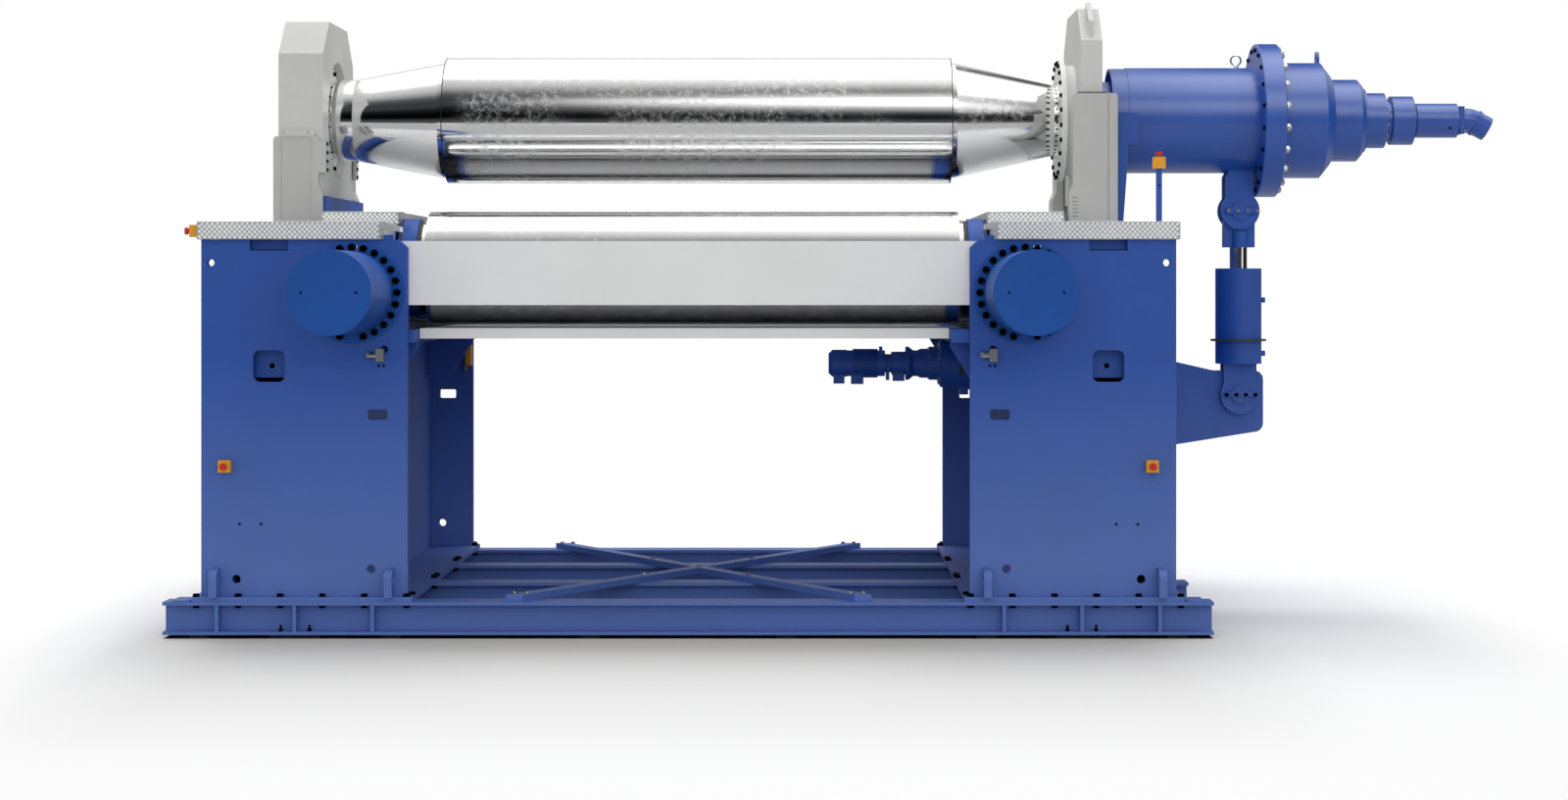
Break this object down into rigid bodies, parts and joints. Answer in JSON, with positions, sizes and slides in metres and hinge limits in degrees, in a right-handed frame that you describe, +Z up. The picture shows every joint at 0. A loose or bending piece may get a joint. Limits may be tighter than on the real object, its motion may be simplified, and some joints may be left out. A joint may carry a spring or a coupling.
{
  "type": "three-roll plate rolling machine",
  "caption": "Large three-roll plate bending machine: housings on a beam base, lifting driven top roll, side rolls fed in by hydraulic cylinders.",
  "frame": {"origin": "on the floor, midway between the two housings and midway between the front and rear anchor bolts", "axes": "+X along the rolls towards the drive, +Z up, -Y towards the operator's side"},
  "size_m": [8.5479, 5.18, 4.02],
  "materials": {
    "blue_paint": "satin enamel",
    "roll_steel": "ground and polished forging",
    "chrome_rod": "hard chrome plate",
    "grey_paint": "satin enamel",
    "light_grey_paint": "satin enamel",
    "tread_plate": "tread pattern, mill finish",
    "dark_steel": "blackened steel",
    "rubber": "moulded",
    "white_paint": "satin enamel",
    "yellow_box": "moulded",
    "red_button": "moulded",
    "sensor_grey": "cast housing"
  },
  "bodies": {
    "frame": {"base_beams": "blue_paint", "levelling_pads": "dark_steel", "brace_rising": "blue_paint", "brace_falling": "blue_paint", "foot_plate_left": "blue_paint", "foot_plate_right": "blue_paint", "front_plate_left": "blue_paint", "front_plate_right": "blue_paint", "rear_plate_left": "blue_paint", "rear_plate_right": "blue_paint", "inner_wall_left": "blue_paint", "inner_wall_right": "blue_paint", "housing_web_left": "blue_paint", "housing_web_right": "blue_paint", "outer_wall_left": "blue_paint", "outer_wall_right": "blue_paint", "slide_table_left": "blue_paint", "slide_table_right": "blue_paint", "slide_rails_left": "dark_steel", "slide_rails_right": "dark_steel", "deck_left": "tread_plate", "deck_right": "tread_plate", "guides_left": "grey_paint", "guides_right": "grey_paint", "guide_sill": "blue_paint", "front_cylinders": "blue_paint", "rear_cylinders": "blue_paint", "front_beam": "light_grey_paint", "rear_beam": "light_grey_paint", "catch_tray": "light_grey_paint", "side_drive": "blue_paint", "cylinder_bracket": "blue_paint", "balance_barrel": "blue_paint", "barrel_ring": "rubber", "torque_leg": "blue_paint", "stop_boxes": "yellow_box", "stop_buttons": "red_button", "stop_post": "blue_paint", "feed_sensors": "sensor_grey"},
    "top_carriage": {"balance_rod": "chrome_rod", "balance_rod_head": "blue_paint", "balance_clevis": "blue_paint", "top_block_left": "grey_paint", "top_block_right": "grey_paint", "bearing_cover_left": "white_paint", "bearing_cover_right": "white_paint", "torque_tube": "blue_paint", "drive_flange": "blue_paint", "gearbox": "blue_paint", "drive_motor": "blue_paint"},
    "top_roll": {"top_roll": "roll_steel"},
    "front_slide": {"front_blocks": "blue_paint", "front_bearing_rings": "blue_paint", "front_feed_rods": "chrome_rod"},
    "rear_slide": {"rear_blocks": "blue_paint", "rear_bearing_rings": "blue_paint", "rear_feed_rods": "chrome_rod"},
    "front_roll": {"front_roll": "roll_steel"},
    "rear_roll": {"rear_roll": "roll_steel"}
  },
  "joints": [
    {"name": "top_lift", "type": "slide", "parent": "frame", "child": "top_carriage", "axis": [0, 0, 1], "range_m": [-0.13, 0.2]},
    {"name": "top_roll_spin", "type": "hinge", "parent": "top_carriage", "child": "top_roll", "pos_m": [0, 0, 3.263], "axis": [1, 0, 0], "continuous": true},
    {"name": "front_feed", "type": "slide", "parent": "frame", "child": "front_slide", "axis": [0, 1, 0], "range_m": [0, 0.35]},
    {"name": "front_roll_spin", "type": "hinge", "parent": "front_slide", "child": "front_roll", "pos_m": [0, -0.855, 2.267], "axis": [1, 0, 0], "continuous": true},
    {"name": "rear_feed", "type": "slide", "parent": "frame", "child": "rear_slide", "axis": [0, -1, 0], "range_m": [0, 0.35]},
    {"name": "rear_roll_spin", "type": "hinge", "parent": "rear_slide", "child": "rear_roll", "pos_m": [0, 0.855, 2.267], "axis": [1, 0, 0], "continuous": true}
  ]
}
